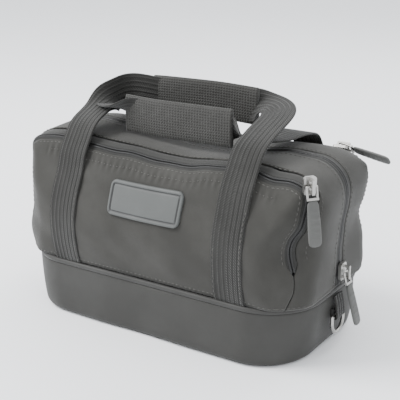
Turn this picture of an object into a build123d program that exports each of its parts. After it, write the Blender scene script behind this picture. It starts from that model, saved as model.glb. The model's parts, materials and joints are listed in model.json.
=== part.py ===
"""Soft carrying case for a portable aviation GPS: a small duffel bag with three zips.

Millimetres, +Z up, +X to the right end.  The origin is the centre of the resting face.
The front pocket faces -Y.  In the code a side is -1 for the front and 1 for the rear.
"""
from build123d import *
import os
from math import asin, atan2, cos, degrees, hypot, radians, sin

# ---------------------------------------------------------------- driving dimensions
# Boot: the stiff coated tub that the bag stands on.
boot_length = 270.0
boot_depth = 145.0
boot_corner = 46.0
boot_height = 46.0
boot_wall = 3.0
boot_inset = 5.0          # how much each end draws in towards the floor
board_thick = 2.0
pad_thick = 4.0
lay_gap = 0.5             # room round the board and the pad

# Piping round the top of the boot.
piping_high = 4.0
piping_proud = 1.0
piping_wide = 4.5

# Body: the padded fabric above the piping.
body_depth = boot_depth + 9.0  # over both pockets
body_corner = 60.0
body_high = 168.0         # highest line of the fabric, along the main zip
shoulder_high = 118.0     # where the pocket starts to lean back
rim_high = {-1: 156.0, 1: 147.0}  # height of each pocket's zip, where the panel ends
rim_y = 49.0              # distance of that zip from the middle
foot_y = 63.0             # distance of the pocket's side seam from the middle, at the piping
seam_top = 156.0          # where that seam's plane has come in to the zip's distance
end_low = boot_length / 2 + 2.5  # half length at the piping
end_high = end_low + 3.5  # half length at the shoulder
end_round = 25.0          # radius of the upper end corner
end_corner_high = 126.0   # height of that corner's centre
end_corner_turn = 80.0    # degrees that the corner turns before the top line takes over
top_line = [(-96.0, 160.0), (-55.0, 154.5), (-10.0, 150.5), (38.0, 149.5), (92.0, 158.5)]  # sagging fabric
shoulder_draw = 6.0       # how far the pocket draws in at the seam and at the shoulder
belly_draw = 0.5          # and at its widest
belly_high = 84.0
crest_half = 26.0         # half width of the flat run along the main zip
crest_drop = 3.0
rim_out, rim_up = 0.84, 0.55  # how a layer's rim moves for each millimetre it grows
plan_spare = 2.0          # the plan's length beyond the shoulder's
panel_wall = 3.0
divider_wall = 1.6

# Zips: half a chain, and the tape that shows beside it.
coil_half = 2.6
coil_thick = 2.2
coil_sunk = 0.3
tape_thick = 1.0
tape_sunk = 0.7
main_tape = 7.0
upper_tape = 11.0
lower_tape = 5.0
pocket_zip_foot = 80.0
floor_in = 7.0            # room between a pocket's floor and the bag's outline

# Clearances.
move_gap = 0.3            # between two bodies that only lie side by side
pin_gap = 0.3             # radial room round a loose wire

# Webbing handles.
webbing_wide = 28.0
webbing_thick = 1.6
handle_x = 80.0           # distance of each strap from the middle
bartack_high = 137.0      # end of the sewn length
link_length = 7.0         # each short run of free webbing beside the stitches
sleeve_length = 100.0
sleeve_high = 33.0
sleeve_thick = 5.0
sleeve_hem = 1.5          # sleeve beyond the webbing's edges
front_knee = (-43.0, 168.0)   # where the front legs bend, in Y and Z
front_grip = (18.0, 182.0)
front_rise = 15.0         # the outer part of the grip's webbing is cut up to here
rear_knee = (42.0, 163.0)
rear_grip = (-22.0, 163.0)
rear_grip_low = 155.5     # the rear grip's lower edge, on the fabric
rear_fold = 8.0           # width of the fold that joins the rear legs to the grip
rear_root = 3.0           # webbing beyond the rear sleeve at each end

# Label patch, blank.
label_wide = 70.0
label_high = 27.0
label_thick = 2.0
label_mid = 114.5
label_corner = 5.0

# Zip sliders and pulls.
slider_long = 14.0
slider_wide = 10.0
slider_thick = 2.4
slider_corner = 2.5
bridge_wide = 2.4
bridge_long = 11.0
bridge_high = 8.2
bridge_bar = 1.6
wire_r = 0.9
axle_high = 4.9           # the pull's axle above the fabric
eye_half = 3.9
eye_long = 9.0
tab_long = 34.0
tab_wide = 10.5
tab_thick = 3.0
tab_corner = 3.0
front_slider_high = 147.0 # on the pocket's round front corner
front_slider_lead = 2.4   # turned ahead, so that it fits the corner lower down as well
rear_slider_x = 112.0     # along the rear pocket's top, from the middle
front_pull_drop = 78.0    # how far each pull points below level
rear_slider_roll = 45.0   # between the slopes of the rear panel and the bag's top
rear_pull_drop = 10.0
main_pull_drop = 74.0
main_slider_high = 65.0

# Shoulder strap rings.
ring_wire = 1.5
ring_half = 10.0
ring_leg = 5.0
ring_tab_wide = 15.0
ring_tab_thick = 1.6
ring_high = 28.0
ring_tab_sunk = 0.4       # how far the tab is let into the boot's end
ring_tab_top = 0.5        # the tab's end below the boot's rim
bevel_lean = 14.0         # degrees the tab's upper end is cut back
bevel_wide = 6.0

seam_z = boot_height + piping_high
body_z = seam_z + move_gap
side_y = body_depth / 2
hinge_y = boot_depth / 2 + piping_proud + move_gap
far = 400.0


# ---------------------------------------------------------------- helpers
def ring_plate(length, depth, corner, z, thick):
    """Rounded plate lying flat, its underside at z."""
    return Pos(0, 0, z) * extrude(RectangleRounded(length, depth, corner), thick)


def tub(shrink, floor, top):
    """Rounded tub that draws in at both ends towards its floor."""
    lower = Pos(0, 0, floor) * RectangleRounded(
        boot_length - 2 * (boot_inset + shrink), boot_depth - 2 * shrink, boot_corner - shrink)
    upper = Pos(0, 0, top) * RectangleRounded(
        boot_length - 2 * shrink, boot_depth - 2 * shrink, boot_corner - shrink)
    return loft([lower, upper])


def side_outline(grow=0.0):
    """The bag seen from its end, as a face in the YZ plane, grown outwards or shrunk."""
    low = side_y - shoulder_draw + grow
    with BuildLine(Plane.YZ) as line:
        for s in (-1, 1):
            rim, rim_z = rim_y + grow * rim_out, rim_high[s] + grow * rim_up
            Line((s * low, 0), (s * low, body_z))
            belly = (s * (low + shoulder_draw - belly_draw), belly_high)
            ThreePointArc((s * low, body_z), belly, (s * low, shoulder_high))
            Line((s * low, shoulder_high), (s * rim, rim_z))
            crest = (s * crest_half, body_high - crest_drop + grow)
            ThreePointArc((s * rim, rim_z), crest, (0, body_high + grow))
        Line((-low, 0), (low, 0))
    return make_face(line.line)


def end_corner(s):
    """Centre of the round upper corner at the right (s=1) or left (s=-1) end, in X and Z."""
    return s * (end_high - end_round), end_corner_high


def front_outline(grow=0.0):
    """The bag seen from the front, as a face in the XZ plane, grown outwards or shrunk."""
    radius = end_round + grow
    lift = radians(end_corner_turn)
    with BuildLine(Plane.XZ) as line:
        ends = []
        for s in (-1, 1):
            cx, cz = end_corner(s)
            mid = (cx + s * radius * cos(lift / 2), cz + radius * sin(lift / 2))
            end = (cx + s * radius * cos(lift), cz + radius * sin(lift))
            Line((s * (end_low + grow), 0), (s * (end_low + grow), body_z))
            Line((s * (end_low + grow), body_z), (s * (end_high + grow), cz))
            ThreePointArc((s * (end_high + grow), cz), mid, end)
            ends.append(end)
        Spline([ends[0]] + [(x, z + grow) for x, z in top_line] + [ends[1]])
        Line((-end_low - grow, 0), (end_low + grow, 0))
    return make_face(line.line)


def envelope(inset):
    """The whole fabric body, each outer face moved in by inset."""
    side = extrude(side_outline(-inset), far / 2, both=True)
    front = extrude(front_outline(-inset), far / 2, both=True)
    length = 2 * (end_high + plan_spare - inset)
    plan = extrude(RectangleRounded(length, 2 * (side_y - inset), body_corner - inset), far)
    return side & front & plan


def slab(side, near, reach, low=body_z):
    """Space between two distances outwards from a side's pocket seam plane."""
    tilt = degrees(atan2(foot_y - rim_y, seam_top - seam_z))
    block = Pos(0, side * (near + reach) / 2, 0) * Box(far, reach - near, 3 * far)
    block = Pos(0, side * foot_y, seam_z) * Rot(side * tilt, 0, 0) * block
    return block & (Pos(0, 0, low + far / 2) * Box(far, 2 * far, far))


def apart(side, near, reach):
    """Space between two distances from the middle plane on one side, above the piping."""
    return Pos(0, side * (near + reach) / 2, body_z + far / 2) * Box(far, reach - near, far)


def keep(shape):
    """The shape's solids as one part."""
    solids = shape.solids()
    return solids[0] if len(solids) == 1 else Compound(children=list(solids))


parts = {}
sides = {"front": -1, "rear": 1}


# ---------------------------------------------------------------- boot and its floor
def make_boot():
    """Stiff tub, the board and pad lying in it, and the piping on its rim."""
    parts["base_boot"] = keep(tub(0, 0, boot_height) - tub(boot_wall, boot_wall, boot_height + 0.01))
    gap = boot_wall + lay_gap
    length = boot_length - 2 * (boot_inset + gap)
    depth = boot_depth - 2 * gap
    parts["base_board"] = ring_plate(length, depth, boot_corner - gap, boot_wall, board_thick)
    parts["floor_pad"] = ring_plate(length, depth, boot_corner - gap, boot_wall + board_thick, pad_thick)
    rings = []
    for out in (piping_proud, piping_proud - piping_wide):
        length, depth = boot_length + 2 * out, boot_depth + 2 * out
        rings.append(ring_plate(length, depth, boot_corner + out, boot_height, piping_high))
    parts["base_piping"] = keep(rings[0] - rings[1])


# ---------------------------------------------------------------- fabric body
def make_body():
    """Half shells, dividers, pocket panels and the tapes and chains of the three zips."""
    wall = envelope(0) - envelope(panel_wall)
    tape = envelope(tape_sunk) - envelope(tape_sunk + tape_thick)
    coil = envelope(coil_sunk) - envelope(coil_sunk + coil_thick)
    inside = envelope(panel_wall)
    clear_inside = envelope(panel_wall + move_gap)
    half_gap = move_gap / 2
    wall_near = 1 - upper_tape
    wall_far = wall_near + divider_wall
    floor_length = 2 * (end_high - floor_in)
    loose = extrude(RectangleRounded(floor_length, body_depth - 2 * floor_in, body_corner - floor_in), far)
    level = Pos(0, 0, body_z + divider_wall / 2) * Box(far, far, divider_wall)
    for name, side in sides.items():
        body = apart(side, main_tape, far)
        main_side = body & slab(side, -far, -upper_tape)
        gusset = body & slab(side, -upper_tape, -half_gap)
        gusset = gusset - slab(side, -upper_tape, -half_gap, pocket_zip_foot)
        flap = slab(side, half_gap, far) - slab(side, half_gap, lower_tape, pocket_zip_foot)
        pieces = {
            "main_panel": wall & (main_side + gusset),
            "main_zip_tape": tape & apart(side, coil_half, main_tape),
            "main_zip_coil": coil & apart(side, half_gap, coil_half),
            "pocket_zip_upper_tape": tape & slab(side, -upper_tape, -coil_half, pocket_zip_foot),
            "pocket_zip_upper_coil": coil & slab(side, -coil_half, -half_gap, pocket_zip_foot),
            "divider": inside & slab(side, wall_near, wall_far),
            "pocket_floor": clear_inside & slab(side, wall_far, far) & level & loose,
            "pocket_panel": wall & flap,
            "pocket_zip_lower_tape": tape & slab(side, coil_half, lower_tape, pocket_zip_foot),
            "pocket_zip_lower_coil": coil & slab(side, half_gap, coil_half, pocket_zip_foot),
        }
        for piece, shape in pieces.items():
            parts[name + "_" + piece] = keep(shape)


# ---------------------------------------------------------------- label patch
def make_label():
    """Blank rubber patch, wrapped on the front panel."""
    face = RectangleRounded(label_wide, label_high, label_corner)
    outline = extrude(Plane.XZ * Pos(0, label_mid) * face, far)
    shell = extrude(side_outline(label_thick), far, both=True) - extrude(side_outline(), far, both=True)
    patch = shell & outline & (Pos(0, -far / 2, 0) * Box(far, far, 3 * far))
    parts["label_patch"] = keep(patch)


# ---------------------------------------------------------------- handles
def strap(points, thick, x_low, x_high):
    """Flat webbing that runs through points of the YZ plane, from x_low to x_high."""
    pieces = None
    for (ya, za), (yb, zb) in zip(points, points[1:]):
        length = hypot(yb - ya, zb - za)
        turn = degrees(atan2(zb - za, yb - ya))
        bar = Box(x_high - x_low, length, thick)
        bar = Pos((x_low + x_high) / 2, (ya + yb) / 2, (za + zb) / 2) * Rot(turn, 0, 0) * bar
        end = Pos((x_low + x_high) / 2, ya, za) * Rot(0, 90, 0) * Cylinder(thick / 2, x_high - x_low)
        pieces = bar + end if pieces is None else pieces + bar + end
    return pieces


def lean(side):
    """Unit vector up the leaning part of a pocket's panel: towards the middle, and up."""
    run = side_y - shoulder_draw - rim_y
    rise = rim_high[side] - shoulder_high
    return run / hypot(run, rise), rise / hypot(run, rise)


def bartack(side, off):
    """Point beside the end of a sewn strap, off millimetres out from the panel, in Y and Z."""
    inwards, upwards = lean(side)
    reach = (bartack_high - shoulder_high) / upwards
    out = side_y - shoulder_draw - inwards * reach + upwards * off
    return side * out, bartack_high + inwards * off


def step(side, start, length):
    """The point reached from start by a length up a pocket's panel, in Y and Z."""
    inwards, upwards = lean(side)
    steeper = radians(link_lift[side])
    run = inwards * cos(steeper) - upwards * sin(steeper)
    rise = upwards * cos(steeper) + inwards * sin(steeper)
    return start[0] - side * length * run, start[1] + length * rise


link_lift = {-1: 1.5, 1: 20.0}                  # degrees that the free webbing stands off the panel
strap_off = webbing_thick + move_gap + webbing_thick / 2
bends = {}                                      # hinge line and next turns of each side's webbing
for the_side, turns in ((-1, 1), (1, 2)):
    bends[the_side] = [bartack(the_side, strap_off)]
    for _ in range(turns):
        bends[the_side].append(step(the_side, bends[the_side][-1], link_length))


def sewn_straps(side):
    """The two lengths of webbing sewn up a pocket's panel."""
    shell = extrude(side_outline(webbing_thick), far, both=True) - extrude(side_outline(), far, both=True)
    tall = bartack_high - body_z
    shell = shell & (Pos(0, side * far / 2, body_z + tall / 2) * Box(far, far, tall))
    straps = [shell & (Pos(s * handle_x, 0, 0) * Box(webbing_wide, 3 * far, 3 * far)) for s in (-1, 1)]
    return Compound(children=[piece.solids()[0] for piece in straps])


def handle_legs(points):
    """Both free legs of a handle, along points of the YZ plane."""
    half = webbing_wide / 2
    legs = [strap(points, webbing_thick, s * handle_x - half, s * handle_x + half) for s in (-1, 1)]
    return legs[0] + legs[1]


def make_grip(name, y, z):
    """Sleeve round the upright webbing of a grip, from end to end."""
    sleeve = Pos(0, y, z) * Box(sleeve_length, sleeve_thick, sleeve_high)
    parts[name] = keep(sleeve - (Pos(0, y, z) * Box(far, webbing_thick, grip_tall)))


grip_tall = sleeve_high - 2 * sleeve_hem


def make_front_handle():
    """Front handle, standing and leaning back, from its hinge line on."""
    y, z = front_grip
    wide = 2 * handle_x + webbing_wide
    cross = Pos(0, y, z) * Box(sleeve_length + 2 * link_length, webbing_thick, grip_tall)
    upper = Pos(0, y, z + front_rise / 2) * Box(wide, webbing_thick, front_rise)
    legs = handle_legs([*bends[-1], front_knee, front_grip])
    parts["front_handle_strap"] = keep(legs + cross + upper)
    make_grip("front_handle_grip", y, z)


def make_rear_handle():
    """Rear handle, fallen forward under the front one; its grip lies on the bag's top."""
    y, flat_z = rear_grip
    outer = handle_x + webbing_wide / 2
    pieces = handle_legs([*bends[1], rear_knee, rear_grip])
    for s in (-1, 1):
        turn = Pos(s * (sleeve_length / 2 + outer) / 2, y, flat_z)
        pieces = pieces + turn * Box(outer - sleeve_length / 2, rear_fold, webbing_thick)
    mid_z = rear_grip_low + sleeve_high / 2
    cross = Pos(0, y, mid_z) * Box(sleeve_length + 2 * rear_root, webbing_thick, grip_tall)
    parts["rear_handle_strap"] = keep(pieces + cross)
    make_grip("rear_handle_grip", y, mid_z)


def make_handles():
    """Sewn straps and both handles."""
    for name, side in sides.items():
        parts[name + "_handle_sewn_straps"] = sewn_straps(side)
    make_front_handle()
    make_rear_handle()


# ---------------------------------------------------------------- zip sliders and pulls
def slider():
    """Slider lying on +Z, with its chain along X and its bridge above."""
    plate = Pos(0, 0, move_gap + slider_thick / 2) * Box(slider_long, slider_wide, slider_thick)
    plate = fillet(plate.edges().filter_by(Axis.Z), slider_corner)
    foot = move_gap + slider_thick
    bridge = Pos(0, 0, (foot + bridge_high) / 2) * Box(bridge_long, bridge_wide, bridge_high - foot)
    opening = Box(bridge_long - 2 * bridge_bar, bridge_wide, bridge_high - bridge_bar - foot)
    return plate + (bridge - Pos(0, 0, (foot + bridge_high - bridge_bar) / 2) * opening)


def pull_eye():
    """Wire eye of a pull, its axle on Y at the origin and its arms along +X."""
    span = 2 * eye_half
    axle = Rot(90, 0, 0) * Cylinder(wire_r, span)
    eye = axle
    for s in (-1, 1):
        arm = Pos(eye_long / 2, s * eye_half, 0) * Rot(0, 90, 0) * Cylinder(wire_r, eye_long)
        eye = eye + arm + Pos(0, s * eye_half, 0) * Sphere(wire_r)
    bar = Pos(eye_long, 0, 0) * Box(2 * wire_r, span + 2 * wire_r, 2 * wire_r)
    return eye + bar


def pull_tab():
    """Rubber tab of a pull, past the eye along +X."""
    start = eye_long + wire_r
    tab = extrude(RectangleRounded(tab_long, tab_wide, tab_corner), tab_thick)
    return Pos(start + tab_long / 2, 0, -tab_thick / 2) * tab


def place_zip_pull(name, foot, turn, swing, roll, drop):
    """Put a slider and its pull on a face point.

    turn is how far the face looks up from level, swing how far it looks round from the right
    towards the front, and roll how far an upward face leans to the rear.
    """
    spot = Pos(*foot) * Rot(-roll, 0, -swing)
    parts[name + "_slider"] = keep(spot * Rot(0, 90 - turn, 0) * slider())
    axle = Pos(axle_high * cos(radians(turn)), 0, axle_high * sin(radians(turn)))
    hang = spot * axle * Rot(0, drop, 0)
    parts[name + "_pull_eye"] = keep(hang * pull_eye())
    parts[name + "_pull_tab"] = keep(hang * pull_tab())
    print(name, "pull axle", [round(v, 2) for v in hang.position], "swing", round(swing, 2))


def zip_y(height):
    """Distance of the pocket's seam plane from the middle at a height."""
    return foot_y + (rim_y - foot_y) * (height - seam_z) / (seam_top - seam_z)


def make_zip_pulls():
    """A slider on the front pocket's corner, one on the rear pocket's top, one low on the end."""
    cz = end_corner(1)[1]
    y = zip_y(front_slider_high)
    round_x, round_y = end_high + plan_spare - body_corner, side_y - body_corner
    swing = asin((y - round_y) / body_corner)
    foot = (round_x + body_corner * cos(swing), -y, front_slider_high)
    place_zip_pull("front_zip", foot, 0, degrees(swing) + front_slider_lead, 0, front_pull_drop)
    foot = (rear_slider_x, rim_y, rim_high[1])
    place_zip_pull("rear_zip", foot, 90, 0, rear_slider_roll, rear_pull_drop)
    reach = (main_slider_high + slider_long / 2 - body_z) / (cz - body_z)
    foot = (end_low + (end_high - end_low) * reach, 0, main_slider_high)
    place_zip_pull("main_zip", foot, 0, 0, 0, main_pull_drop)


# ---------------------------------------------------------------- shoulder strap rings
def make_rings():
    """A webbing tab on each end of the boot, and the loose ring that hangs in it."""
    eye_in = ring_wire + pin_gap
    eye_out = eye_in + ring_tab_thick
    bar_x = boot_length / 2 + eye_out - ring_tab_sunk
    barrel = Pos(bar_x, 0, ring_high) * Rot(90, 0, 0) * Cylinder(eye_out, ring_tab_wide)
    bore = Pos(bar_x, 0, ring_high) * Rot(90, 0, 0) * Cylinder(eye_in, ring_tab_wide)
    top = boot_height - ring_tab_top
    strip = Pos(bar_x, 0, (ring_high + top) / 2) * Box(2 * eye_out, ring_tab_wide, top - ring_high)
    tab = (barrel + strip) - bore - tub(0, 0, boot_height)
    bevel = Rot(0, -bevel_lean, 0) * Box(bevel_wide, 3 * ring_tab_wide, ring_high)
    tab = tab - Pos(bar_x + bevel_wide / 2, 0, top) * bevel
    ring = Rot(90, 0, 0) * Cylinder(ring_wire, 2 * ring_half)
    for s in (-1, 1):
        ring = ring + Pos(0, s * ring_half, -ring_leg / 2) * Cylinder(ring_wire, ring_leg)
        ring = ring + Pos(0, s * ring_half, 0) * Sphere(ring_wire)
    bow = Rot(0, 90, 0) * Torus(ring_half, ring_wire)
    bow = bow & (Pos(0, 0, -ring_half) * Box(far, far, 2 * ring_half))
    ring = Pos(bar_x, 0, ring_high) * (ring + Pos(0, 0, -ring_leg) * bow)
    tab = max(tab.solids(), key=lambda solid: solid.volume)
    for name, shape in (("ring_tab", tab), ("strap_ring", ring)):
        parts["right_" + name] = keep(shape)
        parts["left_" + name] = keep(mirror(shape, Plane.YZ))
    print("ring bar x z", round(bar_x, 2), ring_high)


make_boot()
make_body()
make_label()
make_handles()
make_zip_pulls()
make_rings()
for the_side, places in bends.items():
    print("side", the_side, "hinge line and turns y z", [[round(v, 2) for v in p] for p in places])
print("seam hinge y z", hinge_y, seam_z + move_gap / 2)

os.makedirs("parts", exist_ok=True)
for node, shape in parts.items():
    export_step(shape, f"parts/{node}.step")
print(len(parts), "nodes")
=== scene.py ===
# %% [markdown]
# A small soft carrying case for a portable aviation GPS. The stiff tub, the rings and the zip sliders
# come as solid parts, and this lesson sews the cloth, the webbing and the finishes round them. The
# sizes below are in millimetres, the way a bag maker writes them, and every mesh is made in metres.
# %% Open the frame
import json
import math
import bpy
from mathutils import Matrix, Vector
import bmesh
import numpy as np


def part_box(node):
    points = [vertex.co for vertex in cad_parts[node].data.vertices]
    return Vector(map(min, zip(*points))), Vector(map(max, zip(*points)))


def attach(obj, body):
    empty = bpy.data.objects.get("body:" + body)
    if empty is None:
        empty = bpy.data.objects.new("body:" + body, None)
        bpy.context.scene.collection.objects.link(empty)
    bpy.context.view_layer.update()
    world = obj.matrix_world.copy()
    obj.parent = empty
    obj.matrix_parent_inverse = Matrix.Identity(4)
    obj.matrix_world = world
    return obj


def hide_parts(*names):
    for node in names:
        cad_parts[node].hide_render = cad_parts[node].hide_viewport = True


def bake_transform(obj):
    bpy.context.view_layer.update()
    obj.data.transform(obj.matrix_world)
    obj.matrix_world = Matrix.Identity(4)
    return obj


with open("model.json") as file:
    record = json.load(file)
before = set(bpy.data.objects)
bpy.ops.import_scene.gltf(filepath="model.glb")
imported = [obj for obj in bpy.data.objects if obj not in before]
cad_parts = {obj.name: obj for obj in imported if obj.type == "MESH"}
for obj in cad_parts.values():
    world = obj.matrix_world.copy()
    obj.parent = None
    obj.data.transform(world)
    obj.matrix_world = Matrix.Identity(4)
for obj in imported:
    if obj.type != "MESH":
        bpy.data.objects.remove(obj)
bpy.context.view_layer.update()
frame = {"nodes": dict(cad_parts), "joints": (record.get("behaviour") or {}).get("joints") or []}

METRE = 0.001
COLLECTION = bpy.context.scene.collection


def box_mm(node):
    """Lowest and highest corner of a solid part, in millimetres."""
    low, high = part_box(node)
    return np.array(low) / METRE, np.array(high) / METRE


boot_low, boot_high = box_mm("base_boot")
piping_low, piping_high = box_mm("base_piping")
seam_z = piping_high[2] + 0.3
joint_spot = {j["name"]: np.array(j["pos_m"]) / METRE for j in frame["joints"] if "pos_m" in j}
print("boot", boot_low.round(1), boot_high.round(1), "cloth starts at", round(seam_z, 2))

# %% [markdown]
# Every new piece is a sheet of points in rows and columns. One helper turns such a grid into a mesh
# with a UV map in centimetres of cloth, so that a weave has the same scale on every piece. Grids that
# close on themselves repeat their first row or column, and the doubles are merged afterwards.
# %% Turn grids of points into meshes
def add_mesh(name, points, faces, uv):
    """Mesh object from points in millimetres, four-sided faces and one UV pair for each point."""
    mesh = bpy.data.meshes.new(name)
    mesh.vertices.add(len(points))
    mesh.vertices.foreach_set("co", (points * METRE).astype(np.float32).ravel())
    mesh.loops.add(faces.size)
    mesh.loops.foreach_set("vertex_index", faces.astype(np.int32).ravel())
    mesh.polygons.add(len(faces))
    mesh.polygons.foreach_set("loop_start", np.arange(0, faces.size, 4, dtype=np.int32))
    mesh.update(calc_edges=True)
    layer = mesh.uv_layers.new(name="cloth")
    layer.data.foreach_set("uv", (uv[faces.ravel()] * 0.1).astype(np.float32).ravel())
    mesh.polygons.foreach_set("use_smooth", np.full(len(faces), True))
    obj = bpy.data.objects.new(name, mesh)
    COLLECTION.objects.link(obj)
    return obj


def run_length(grid, axis):
    """Distance walked along a grid's rows or columns, starting at nought."""
    steps = np.linalg.norm(np.diff(grid, axis=axis), axis=2)
    start = np.zeros_like(np.take(steps, [0], axis=axis))
    return np.concatenate([start, np.cumsum(steps, axis=axis)], axis=axis)


def weld(obj):
    """Merge a mesh's doubles and face its closed skin outwards."""
    work = bmesh.new()
    work.from_mesh(obj.data)
    bmesh.ops.remove_doubles(work, verts=work.verts, dist=2e-6)
    bmesh.ops.dissolve_degenerate(work, edges=work.edges, dist=1e-7)
    bmesh.ops.recalc_face_normals(work, faces=work.faces)
    if work.calc_volume(signed=True) < 0:
        bmesh.ops.reverse_faces(work, faces=work.faces)
    work.to_mesh(obj.data)
    work.free()
    return obj


def grid_faces(rows, columns, offset=0):
    """Four-sided faces between neighbouring points of a grid, as rows of point numbers."""
    number = np.arange(rows * columns).reshape(rows, columns) + offset
    corners = (number[:-1, :-1], number[1:, :-1], number[1:, 1:], number[:-1, 1:])
    return np.stack(corners, axis=-1).reshape(-1, 4)


def sheet_piece(name, grid, out, uv=None):
    """Open sheet from a (rows, columns, 3) grid; out is an outward direction near its middle."""
    rows, columns = grid.shape[:2]
    faces = grid_faces(rows, columns)
    r, c = rows // 2, columns // 2
    normal = np.cross(grid[r + 1, c] - grid[r, c], grid[r, c + 1] - grid[r, c])
    if np.dot(normal, out) < 0:
        faces = faces[:, ::-1]
    if uv is None:
        uv = np.stack([run_length(grid, 1), run_length(grid, 0)], axis=2)
    return add_mesh(name, grid.reshape(-1, 3), faces, uv.reshape(-1, 2))


def tube_piece(name, rings, uv=None):
    """Closed skin from a (rings, points, 3) grid: each ring closes, and both ends close to a middle."""
    rings = np.concatenate([rings, rings[:, :1]], axis=1)
    middle = rings[:, :-1].mean(axis=1, keepdims=True)
    first = np.repeat(middle[:1], rings.shape[1], axis=1)
    last = np.repeat(middle[-1:], rings.shape[1], axis=1)
    rings = np.concatenate([first, rings, last], axis=0)
    if uv is None:
        uv = np.stack([run_length(rings, 1), run_length(rings, 0)], axis=2)
    obj = add_mesh(name, rings.reshape(-1, 3), grid_faces(*rings.shape[:2]), uv.reshape(-1, 2))
    return weld(obj)


def thicken(obj, thickness, offset=-1.0):
    """Give a sheet its thickness, inwards from the face that is drawn."""
    wall = obj.modifiers.new("wall", "SOLIDIFY")
    wall.thickness = thickness * METRE
    wall.offset = offset
    return obj


print("helpers ready")

# %% [markdown]
# The fabric body is one soft loaf. Rather than draw each panel by eye, the loaf is written once as a
# field: a number that is nought on the cloth, negative inside and grows by a millimetre for each
# millimetre outwards. The loaf is what is left when the bag's end view, front view and plan are laid
# over each other, each meeting the next in a soft round, as stuffed cloth does at an edge.
# %% The loaf's three views
crest_x = np.array([-150, -122, -98, -74, -40, 0, 38, 70, 96, 122, 150.0])
crest_z = np.array([152, 154, 161, 158.5, 153.5, 150, 150, 153.5, 158.5, 153.5, 151.0])
fine_x = np.linspace(-150, 150, 601)
bell = np.exp(-0.5 * (np.arange(-60, 61) / 18.0) ** 2)
fine_z = np.convolve(np.pad(np.interp(fine_x, crest_x, crest_z), 60, mode="edge"), bell / bell.sum(), "valid")
SHOULDER = 118.0
RIM_Y = 49.0
WALL_Y, BELLY, BELLY_Z, BELLY_TALL = 71, 5.0, 84, 36
PLAN_X, PLAN_Y, PLAN_ROUND = 84.5, 18.5, 60.0
END_X = 116.0
END_Z = 126.0
END_ROUND = 25.0


def soft_max(a, b, k):
    """The larger of a and b, rounded over a band k wide where they are nearly equal."""
    h = np.maximum(k - np.abs(a - b), 0) / k
    return np.maximum(a, b) + h * h * k / 4


def smooth_step(low, high, value):
    """Nought below low, one above high, and a smooth rise between."""
    t = np.clip((value - low) / (high - low), 0, 1)
    return t * t * (3 - 2 * t)


def end_view(y, z):
    """Bulging walls, a panel that leans in above the shoulder, and a low dome between both rims."""
    rim = 151.5 - 4.5 * np.tanh(y / 12)
    wall = np.abs(y) - WALL_Y - BELLY * np.clip(1 - ((z - BELLY_Z) / BELLY_TALL) ** 2, 0, 1)
    run, rise = WALL_Y - RIM_Y, rim - SHOULDER
    long = np.hypot(run, rise)
    leaning = (np.abs(y) - RIM_Y) * rise / long + (z - rim) * run / long
    dome = z - (167 - (167 - rim) * (np.abs(y) / RIM_Y) ** 2.2)
    return soft_max(soft_max(wall, leaning, 12), dome, 6)


def front_view(x, z):
    """Upright ends, a round upper corner at each, and the sagging top line between them."""
    reach = 137.5 + 3.5 * np.clip((z - seam_z) / (END_Z - seam_z), 0, 1)
    across = np.abs(x) - (reach - END_ROUND)
    up = z - (np.interp(x, fine_x, fine_z) - END_ROUND)
    outside = np.hypot(np.maximum(across, 0), np.maximum(up, 0))
    return outside + np.minimum(np.maximum(across, up), 0) - END_ROUND


def plan_view(x, y):
    """Rounded rectangle seen from above."""
    across, deep = np.abs(x) - PLAN_X, np.abs(y) - PLAN_Y
    outside = np.hypot(np.maximum(across, 0), np.maximum(deep, 0))
    return outside + np.minimum(np.maximum(across, deep), 0) - PLAN_ROUND


print("top line from", round(fine_z.min(), 1), "to", round(fine_z.max(), 1))

# %% [markdown]
# Cloth is never quite even. Slack gathers in folds where it is pinched: at the boot seam, at the
# pocket's side seams and at the corners. Each fold is a soft dent or swell of the field, and the same
# field carries every panel, tape and strap, so that they all follow the fold together.
# %% Folds and slack in the cloth
FOLDS = [  # place, reach in each direction, swell in millimetres (negative is a dent)
    ((127, -58, 97), (13, 15, 11), -6.5),
    ((118, -66, 75), (16, 12, 15), 2.5),
    ((112, -70, 116), (20, 16, 13), 2.5),
    ((139, -30, 120), (8, 22, 18), 2.0),
    ((138, 44, 100), (14, 18, 10), -4.5),
    ((140, 8, 92), (10, 20, 26), -2.0),
    ((-134, -46, 66), (12, 26, 13), 3.0),
    ((-140, -30, 92), (12, 24, 11), -3.5),
    ((-112, -62, 132), (22, 12, 10), -3.0),
    ((-128, 58, 98), (13, 15, 12), -5.0),
    ((0, -52, 140), (46, 9, 7), -1.6),
    ((42, -70, 104), (16, 12, 30), -1.4),
    ((104, -58, 128), (9, 14, 20), -2.2),
    ((-45, -72, 82), (30, 12, 16), 1.2),
    ((30, 70, 96), (50, 12, 22), 1.6),
    ((-60, 64, 128), (26, 14, 9), -2.0),
]
rng = np.random.default_rng(7)
SLACK = [(rng.normal(size=3) / wave, rng.uniform(0, 6.28), size) for wave, size in
         ((21, 0.55), (17, 0.5), (13, 0.4), (10, 0.3), (7.5, 0.2), (26, 0.6))]


def folds(p):
    """Sum of bell-shaped swells and of a few long slanting waves, fading out at the boot."""
    total = np.zeros(p.shape[:-1])
    for place, reach, swell in FOLDS:
        away = (p - np.array(place, float)) / np.array(reach, float)
        total += swell * np.exp(-0.5 * np.sum(away * away, axis=-1))
    for pull, start, size in SLACK:
        total += size * np.sin(p @ pull + start)
    gather = -1.3 * np.exp(-(p[..., 2] - seam_z) / 5.0)
    return total * smooth_step(seam_z - 6, seam_z + 18, p[..., 2]) + gather


def field(p):
    """Height above the cloth: the three views laid over each other, less the folds."""
    x, y, z = p[..., 0], p[..., 1], p[..., 2]
    loaf = soft_max(soft_max(end_view(y, z), front_view(x, z), 14), plan_view(x, y), 3)
    return loaf - folds(p)


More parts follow.
